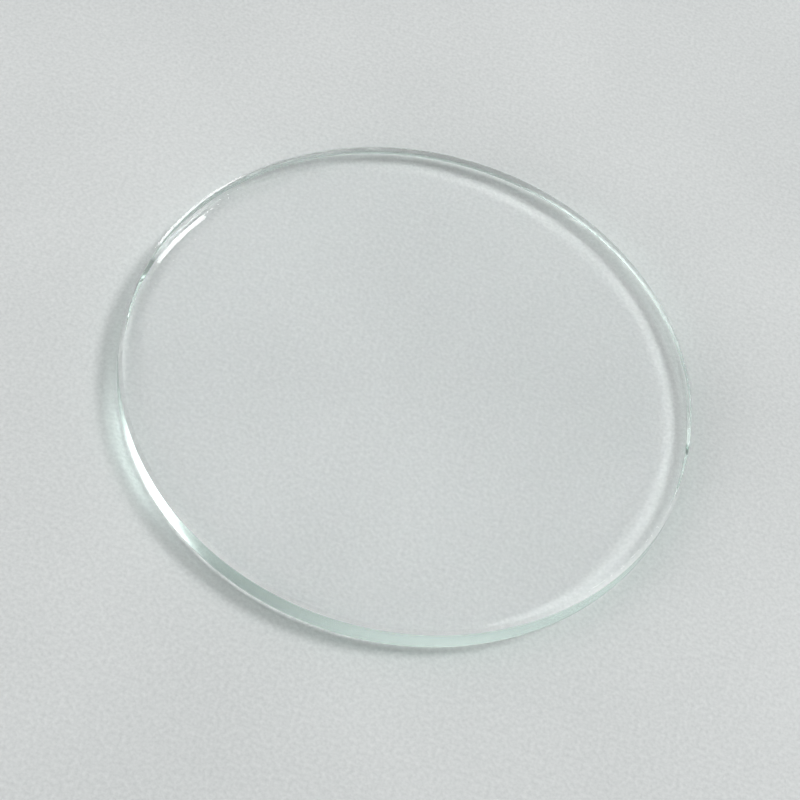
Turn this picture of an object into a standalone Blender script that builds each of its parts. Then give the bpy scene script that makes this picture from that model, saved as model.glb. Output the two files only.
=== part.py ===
"""Flat mineral watch glass: one turned disc of clear glass with a ground and polished
cylindrical edge and a small 45 degree arris round each face.

Metres, +Z up. The origin is the centre of the underside, and the disc lies on the plane z = 0.
"""

import math

import bmesh
import bpy

MM = 0.001

# The two dimensions that a watch glass is bought by: diameter and thickness.
GLASS_DIAMETER = 37.0 * MM
GLASS_THICKNESS = 2.0 * MM

# The arrises that take the sharp corner off both faces.
TOP_ARRIS = 0.25 * MM
BOTTOM_ARRIS = 0.25 * MM

# Facets round the edge. A multiple of four keeps the widest points on the axes.
EDGE_FACETS = 360

# The lathe welds what it closes on the axis and at the seam.
SEAM_WELD = 0.01 * MM

# Corners sharper than this stay crisp when the disc is shaded: the edges of the two arrises.
CRISP_ANGLE = math.radians(20)


def clear_scene():
    """Start from an empty scene."""
    for thing in list(bpy.data.objects):
        bpy.data.objects.remove(thing, do_unlink=True)


def object_collection(name):
    """The collection that holds the whole object."""
    collection = bpy.data.collections.new(name)
    bpy.context.scene.collection.children.link(collection)
    return collection


def mineral_glass():
    """Clear soda-lime mineral glass, faintly green in depth."""
    material = bpy.data.materials.new("mineral_glass")
    material.use_nodes = True
    shader = material.node_tree.nodes["Principled BSDF"]
    shader.inputs["Base Color"].default_value = (0.93, 0.97, 0.95, 1.0)
    shader.inputs["Roughness"].default_value = 0.02
    shader.inputs["IOR"].default_value = 1.52
    shader.inputs["Transmission Weight"].default_value = 1.0
    return material


def glass_profile():
    """Half section of the disc at +X, from the top centre, down the edge, to the bottom centre."""
    radius = GLASS_DIAMETER / 2
    return [
        (0.0, GLASS_THICKNESS),
        (radius - TOP_ARRIS, GLASS_THICKNESS),
        (radius, GLASS_THICKNESS - TOP_ARRIS),
        (radius, BOTTOM_ARRIS),
        (radius - BOTTOM_ARRIS, 0.0),
        (0.0, 0.0),
    ]


def profile_mesh(name, points):
    """An open chain of edges in the XZ plane."""
    mesh = bpy.data.meshes.new(name)
    chain = bmesh.new()
    vertices = [chain.verts.new((x, 0.0, z)) for x, z in points]
    for start, end in zip(vertices, vertices[1:]):
        chain.edges.new((start, end))
    chain.to_mesh(mesh)
    chain.free()
    return mesh


def turn(target, facets):
    """Revolve the profile round the Z axis into a closed, smooth-shaded solid."""
    lathe = target.modifiers.new("lathe", "SCREW")
    lathe.axis = "Z"
    lathe.angle = math.tau
    lathe.steps = facets
    lathe.render_steps = facets
    lathe.use_merge_vertices = True
    lathe.merge_threshold = SEAM_WELD
    lathe.use_smooth_shade = True


def keep_arrises_crisp(target):
    """Shade the wall smooth round the disc, with a sharp line at each edge of both arrises."""
    split = target.modifiers.new("crisp_arrises", "EDGE_SPLIT")
    split.split_angle = CRISP_ANGLE


def build_glass_disc(collection, material):
    """The watch glass itself, a single piece of glass."""
    disc = bpy.data.objects.new("glass_disc", profile_mesh("glass_disc", glass_profile()))
    collection.objects.link(disc)
    disc.data.materials.append(material)
    turn(disc, EDGE_FACETS)
    keep_arrises_crisp(disc)


def main():
    clear_scene()
    collection = object_collection("watch_glass")
    build_glass_disc(collection, mineral_glass())


main()
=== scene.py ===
"""Looks for the flat mineral watch glass: clear glass on pale paper in soft studio light.

Metres, +Z up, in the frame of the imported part: the underside's centre is the origin.
"""

import math

import bmesh
import bpy
from mathutils import Matrix, Vector


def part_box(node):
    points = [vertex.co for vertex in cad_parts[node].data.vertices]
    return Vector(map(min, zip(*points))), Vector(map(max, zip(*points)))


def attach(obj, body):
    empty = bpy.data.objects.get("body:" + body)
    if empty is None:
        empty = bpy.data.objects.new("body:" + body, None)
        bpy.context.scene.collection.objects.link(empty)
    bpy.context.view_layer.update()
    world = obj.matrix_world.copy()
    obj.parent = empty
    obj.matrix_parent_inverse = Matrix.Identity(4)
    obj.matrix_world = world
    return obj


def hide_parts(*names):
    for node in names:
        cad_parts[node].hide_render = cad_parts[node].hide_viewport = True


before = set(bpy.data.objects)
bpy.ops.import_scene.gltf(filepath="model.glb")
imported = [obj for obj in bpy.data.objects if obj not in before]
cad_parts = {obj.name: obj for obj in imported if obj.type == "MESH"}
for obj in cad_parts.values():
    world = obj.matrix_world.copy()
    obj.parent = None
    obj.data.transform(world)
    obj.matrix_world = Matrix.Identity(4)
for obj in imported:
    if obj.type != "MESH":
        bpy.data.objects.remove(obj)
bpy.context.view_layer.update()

MM = 0.001

# The glass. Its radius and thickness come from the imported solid.
ARRIS = 0.25 * MM
CORNER_RADIUS = 0.03 * MM
CORNER_STEPS = 4
RIM_RING_INSET = 4 * ARRIS
EDGE_SEGMENTS = 1024
GLASS_IOR = 1.52
GLASS_TINT = (0.54, 0.93, 0.80, 1.0)
GLASS_TINT_DENSITY = 9.0
WALL_ROUGHNESS = 0.20
WALL_ROUGHNESS_SPREAD = 0.03

# Where the wall ends and the arrises begin, by how far up or down the surface faces.
WALL_SLOPE = 0.25
ARRIS_SLOPE = 0.60

# Grinding marks on the wall: fine lines that run round the disc.
GRIND_LINES_PER_METRE = 9000.0
GRIND_PATCHES_PER_METRE = 500.0
GRIND_DETAIL = 2.0
GRIND_CONTRAST = (0.35, 0.65)

# The paper that it lies on.
PAPER_GAP = 0.02 * MM
PAPER_SIZE = 6.0
PAPER_DARK = (0.668, 0.696, 0.693, 1.0)
PAPER_LIGHT = (0.838, 0.864, 0.860, 1.0)
PAPER_GRAIN_PER_METRE = 4200.0
PAPER_GRAIN_DETAIL = 3.0
PAPER_CLOUDS_PER_METRE = 45.0
PAPER_CLOUDS_DETAIL = 2.0
PAPER_CLOUDS_SHARE = 0.35
PAPER_CONTRAST = (0.30, 0.70)
PAPER_ROUGHNESS = 0.9
PAPER_SPECULAR = 0.2
PAPER_RELIEF = 0.03 * MM

# The camera: a long lens looking down at the disc, turned a little about its own axis.
VIEW_ELEVATION = math.radians(55.4)
VIEW_ROLL = math.radians(17.3)
VIEW_DISTANCE_RADII = 7.62
VIEW_ANGLE = math.radians(20.61)
AIM_RIGHT_RADII = -0.0237
AIM_UP_RADII = -0.0373
NEAREST_SEEN = 0.005
FARTHEST_SEEN = 20.0

# A round softbox at arm's length. Its width is the angle that it fills as seen from the disc.
SOFTBOX_DISTANCE = 1.0
SOFTBOX_AZIMUTH = math.radians(36)
SOFTBOX_ELEVATION = math.radians(54)
SOFTBOX_WIDTH = math.radians(17)
SOFTBOX_RADIANCE = 15.7

# The room: even soft light, and two paler stretches of wall. Each has an azimuth from +X to +Y,
# an elevation, how far from its middle it is full and where it ends, all in degrees, and the
# radiance that it adds.
ROOM_STRENGTH = 0.27
PALE_WALLS = {
    "beyond_the_disc": (140.0, 28.0, 25.0, 58.0, 0.9),
    "low_on_the_left": (229.0, 5.0, 14.0, 34.0, 2.8),
}

# Light crosses the disc many times between its faces before it leaves through the wall.
LIGHT_BOUNCES = 48


def direction(azimuth, elevation):
    """Unit vector towards an azimuth from +X to +Y and an elevation above the paper."""
    level = math.cos(elevation)
    return Vector((level * math.cos(azimuth), level * math.sin(azimuth), math.sin(elevation)))


def new_material(name):
    material = bpy.data.materials.new(name)
    material.use_nodes = True
    return material, material.node_tree.nodes, material.node_tree.links


def rounded_corner(before, corner, after, radius, steps):
    """Points of a small arc that takes the corner off a chain of straight lines."""
    to_before = (Vector(before) - Vector(corner)).normalized()
    to_after = (Vector(after) - Vector(corner)).normalized()
    half = to_before.angle(to_after) / 2
    reach = radius / math.tan(half)
    start = Vector(corner) + to_before * reach
    end = Vector(corner) + to_after * reach
    middle = (to_before + to_after).normalized()
    centre = Vector(corner) + middle * radius / math.sin(half)
    first = start - centre
    turn = first.angle_signed(end - centre)
    points = []
    for step in range(steps + 1):
        share = -turn * step / steps
        x = first.x * math.cos(share) - first.y * math.sin(share)
        y = first.x * math.sin(share) + first.y * math.cos(share)
        points.append((centre.x + x, centre.y + y))
    return points


def held(points, margin):
    """The chain with an extra point just inside both ends of every long straight."""
    chain = []
    for start, end in zip(points, points[1:]):
        chain.append(start)
        length = (Vector(end) - Vector(start)).length
        if length > 4 * margin:
            for share in (margin / length, 1 - margin / length):
                chain.append(tuple(Vector(start).lerp(Vector(end), share)))
    chain.append(points[-1])
    return chain


def glass_section(radius, thickness):
    """Half section of the disc from the top's rim, down the edge, to the underside's rim."""
    corners = [
        (radius - ARRIS, thickness),
        (radius, thickness - ARRIS),
        (radius, ARRIS),
        (radius - ARRIS, 0.0),
    ]
    ends = [(radius - RIM_RING_INSET, thickness), (radius - RIM_RING_INSET, 0.0)]
    chain = [ends[0]] + corners + [ends[1]]
    points = [ends[0]]
    for before, corner, after in zip(chain, chain[1:], chain[2:]):
        points += rounded_corner(before, corner, after, CORNER_RADIUS, CORNER_STEPS)
    points.append(ends[1])
    return held(points, CORNER_RADIUS / 2)


def turned_solid(name, section, segments):
    """A closed solid of revolution from the half section, capped flat at both ends."""
    mesh = bpy.data.meshes.new(name)
    form = bmesh.new()
    rings = []
    for r, z in section:
        ring = []
        for index in range(segments):
            angle = math.tau * index / segments
            ring.append(form.verts.new((r * math.cos(angle), r * math.sin(angle), z)))
        rings.append(ring)
    for upper, lower in zip(rings, rings[1:]):
        for index in range(segments):
            after = (index + 1) % segments
            form.faces.new((upper[index], lower[index], lower[after], upper[after]))
    form.faces.new(rings[0])
    form.faces.new(list(reversed(rings[-1])))
    for face in form.faces:
        face.smooth = True
    form.to_mesh(mesh)
    form.free()
    solid = bpy.data.objects.new(name, mesh)
    bpy.context.scene.collection.objects.link(solid)
    return solid


def scaled_position(nodes, links, scale):
    """The surface's own position, stretched by three scales, for a pattern to read."""
    place = nodes.new("ShaderNodeTexCoord")
    stretch = nodes.new("ShaderNodeVectorMath")
    stretch.operation = "MULTIPLY"
    stretch.inputs[1].default_value = scale
    links.new(place.outputs["Object"], stretch.inputs[0])
    return stretch.outputs["Vector"]


def noise(nodes, links, scale, detail):
    """Noise from 0 to 1, with about as many blots per metre as the scale says on each axis."""
    pattern = nodes.new("ShaderNodeTexNoise")
    pattern.inputs["Scale"].default_value = 1.0
    pattern.inputs["Detail"].default_value = detail
    links.new(scaled_position(nodes, links, scale), pattern.inputs["Vector"])
    return pattern.outputs["Fac"]


def mapped(nodes, links, value, from_range, to_range):
    """The value moved from one range to another, held at both ends."""
    mapping = nodes.new("ShaderNodeMapRange")
    mapping.inputs["From Min"].default_value = from_range[0]
    mapping.inputs["From Max"].default_value = from_range[1]
    mapping.inputs["To Min"].default_value = to_range[0]
    mapping.inputs["To Max"].default_value = to_range[1]
    links.new(value, mapping.inputs["Value"])
    return mapping.outputs["Result"]


def product(nodes, links, first, second):
    times = nodes.new("ShaderNodeMath")
    times.operation = "MULTIPLY"
    links.new(first, times.inputs[0])
    links.new(second, times.inputs[1])
    return times.outputs["Value"]


def straight_wall(nodes, links):
    """1 on the straight wall, 0 on the arrises and the flat faces."""
    surface = nodes.new("ShaderNodeNewGeometry")
    parts = nodes.new("ShaderNodeSeparateXYZ")
    size = nodes.new("ShaderNodeMath")
    size.operation = "ABSOLUTE"
    links.new(surface.outputs["Normal"], parts.inputs["Vector"])
    links.new(parts.outputs["Z"], size.inputs[0])
    return mapped(nodes, links, size.outputs["Value"], (WALL_SLOPE, ARRIS_SLOPE), (1.0, 0.0))


def glass_material():
    """Clear glass, green only in depth, with polished faces and arrises and a finely ground wall."""
    material, nodes, links = new_material("clear_mineral_glass")
    shader = nodes["Principled BSDF"]
    shader.inputs["Base Color"].default_value = (1.0, 1.0, 1.0, 1.0)
    shader.inputs["IOR"].default_value = GLASS_IOR
    shader.inputs["Transmission Weight"].default_value = 1.0
    around = (GRIND_PATCHES_PER_METRE, GRIND_PATCHES_PER_METRE, GRIND_LINES_PER_METRE)
    lines = noise(nodes, links, around, GRIND_DETAIL)
    low = WALL_ROUGHNESS - WALL_ROUGHNESS_SPREAD
    high = WALL_ROUGHNESS + WALL_ROUGHNESS_SPREAD
    ground = mapped(nodes, links, lines, GRIND_CONTRAST, (low, high))
    roughness = product(nodes, links, ground, straight_wall(nodes, links))
    links.new(roughness, shader.inputs["Roughness"])
    tint = nodes.new("ShaderNodeVolumeAbsorption")
    tint.inputs["Color"].default_value = GLASS_TINT
    tint.inputs["Density"].default_value = GLASS_TINT_DENSITY
    links.new(tint.outputs["Volume"], nodes["Material Output"].inputs["Volume"])
    return material


def paper_material():
    """Pale uncoated paper: fine grain in colour and relief, and faint wide clouds."""
    material, nodes, links = new_material("pale_paper")
    shader = nodes["Principled BSDF"]
    shader.inputs["Roughness"].default_value = PAPER_ROUGHNESS
    shader.inputs["Specular IOR Level"].default_value = PAPER_SPECULAR
    grain = noise(nodes, links, (PAPER_GRAIN_PER_METRE,) * 3, PAPER_GRAIN_DETAIL)
    clouds = noise(nodes, links, (PAPER_CLOUDS_PER_METRE,) * 3, PAPER_CLOUDS_DETAIL)
    both = nodes.new("ShaderNodeMix")
    both.inputs["Factor"].default_value = PAPER_CLOUDS_SHARE
    links.new(grain, both.inputs["A"])
    links.new(clouds, both.inputs["B"])
    tones = nodes.new("ShaderNodeValToRGB")
    tones.color_ramp.elements[0].position = PAPER_CONTRAST[0]
    tones.color_ramp.elements[0].color = PAPER_DARK
    tones.color_ramp.elements[1].position = PAPER_CONTRAST[1]
    tones.color_ramp.elements[1].color = PAPER_LIGHT
    links.new(both.outputs["Result"], tones.inputs["Fac"])
    links.new(tones.outputs["Color"], shader.inputs["Base Color"])
    relief = nodes.new("ShaderNodeBump")
    relief.inputs["Distance"].default_value = PAPER_RELIEF
    links.new(grain, relief.inputs["Height"])
    links.new(relief.outputs["Normal"], shader.inputs["Normal"])
    return material


def build_glass():
    """The disc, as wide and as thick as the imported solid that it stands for."""
    low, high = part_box("glass_disc")
    radius = (high[0] - low[0]) / 2
    thickness = high[2] - low[2]
    glass = turned_solid("glass_disc_polished", glass_section(radius, thickness), EDGE_SEGMENTS)
    glass.data.materials.append(glass_material())
    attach(glass, "root")
    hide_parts("glass_disc")


def build_paper():
    """A plain sheet just below the underside, far wider than the picture."""
    mesh = bpy.data.meshes.new("paper")
    half = PAPER_SIZE / 2
    sheet = bmesh.new()
    corners = [(-half, -half), (half, -half), (half, half), (-half, half)]
    sheet.faces.new([sheet.verts.new((x, y, -PAPER_GAP)) for x, y in corners])
    sheet.to_mesh(mesh)
    sheet.free()
    paper = bpy.data.objects.new("paper", mesh)
    bpy.context.scene.collection.objects.link(paper)
    paper.data.materials.append(paper_material())


def build_softbox():
    """A round softbox that faces the disc."""
    data = bpy.data.lights.new("key_softbox", "AREA")
    data.shape = "DISK"
    data.size = 2 * math.tan(SOFTBOX_WIDTH / 2) * SOFTBOX_DISTANCE
    face_area = math.pi * data.size**2 / 4
    data.energy = SOFTBOX_RADIANCE * math.pi * face_area
    lamp = bpy.data.objects.new("key_softbox", data)
    towards = direction(SOFTBOX_AZIMUTH, SOFTBOX_ELEVATION)
    lamp.location = towards * SOFTBOX_DISTANCE
    lamp.rotation_euler = towards.to_track_quat("Z", "Y").to_euler()
    bpy.context.scene.collection.objects.link(lamp)


def pale_stretch(nodes, links, azimuth, elevation, core, reach, strength):
    """Extra strength of the room's light round one direction, with a soft border."""
    outward = nodes.new("ShaderNodeTexCoord")
    nearness = nodes.new("ShaderNodeVectorMath")
    nearness.operation = "DOT_PRODUCT"
    middle = direction(math.radians(azimuth), math.radians(elevation))
    nearness.inputs[1].default_value = middle
    links.new(outward.outputs["Generated"], nearness.inputs[0])
    border = (math.cos(math.radians(reach)), math.cos(math.radians(core)))
    return mapped(nodes, links, nearness.outputs["Value"], border, (0.0, strength))


def build_room():
    """Even soft light from all sides, with the paler stretches of wall."""
    world = bpy.data.worlds.new("soft_room")
    world.use_nodes = True
    nodes = world.node_tree.nodes
    links = world.node_tree.links
    total = nodes.new("ShaderNodeValue")
    total.outputs["Value"].default_value = ROOM_STRENGTH
    strength = total.outputs["Value"]
    for setting in PALE_WALLS.values():
        more = nodes.new("ShaderNodeMath")
        more.operation = "ADD"
        links.new(strength, more.inputs[0])
        links.new(pale_stretch(nodes, links, *setting), more.inputs[1])
        strength = more.outputs["Value"]
    links.new(strength, nodes["Background"].inputs["Strength"])
    nodes["Background"].inputs["Color"].default_value = (1.0, 1.0, 1.0, 1.0)
    bpy.context.scene.world = world


def let_light_through():
    """Enough bounces for light trapped in the disc, and none of it cut off."""
    cycles = bpy.context.scene.cycles
    cycles.max_bounces = LIGHT_BOUNCES
    cycles.transmission_bounces = LIGHT_BOUNCES
    cycles.glossy_bounces = LIGHT_BOUNCES
    cycles.sample_clamp_indirect = 0.0
    cycles.blur_glossy = 0.0
    cycles.use_adaptive_sampling = False


def build_camera():
    """The camera, placed in disc radii so that the picture doesn't depend on the disc's size."""
    low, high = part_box("glass_disc")
    radius = (high[0] - low[0]) / 2
    data = bpy.data.cameras.new("camera")
    data.angle = VIEW_ANGLE
    data.clip_start = NEAREST_SEEN
    data.clip_end = FARTHEST_SEEN
    camera = bpy.data.objects.new("camera", data)
    back = direction(-math.pi / 2, VIEW_ELEVATION)
    level = Vector((1.0, 0.0, 0.0))
    steep = back.cross(level)
    right = math.cos(VIEW_ROLL) * level + math.sin(VIEW_ROLL) * steep
    up = back.cross(right)
    aim = radius * (AIM_RIGHT_RADII * right + AIM_UP_RADII * up)
    place = aim + back * radius * VIEW_DISTANCE_RADII
    turned = Matrix((right, up, back)).transposed()
    camera.matrix_world = Matrix.Translation(place) @ turned.to_4x4()
    bpy.context.scene.collection.objects.link(camera)
    bpy.context.scene.camera = camera


build_glass()
build_paper()
build_softbox()
build_room()
build_camera()
let_light_through()
bpy.context.scene.view_settings.view_transform = "Standard"
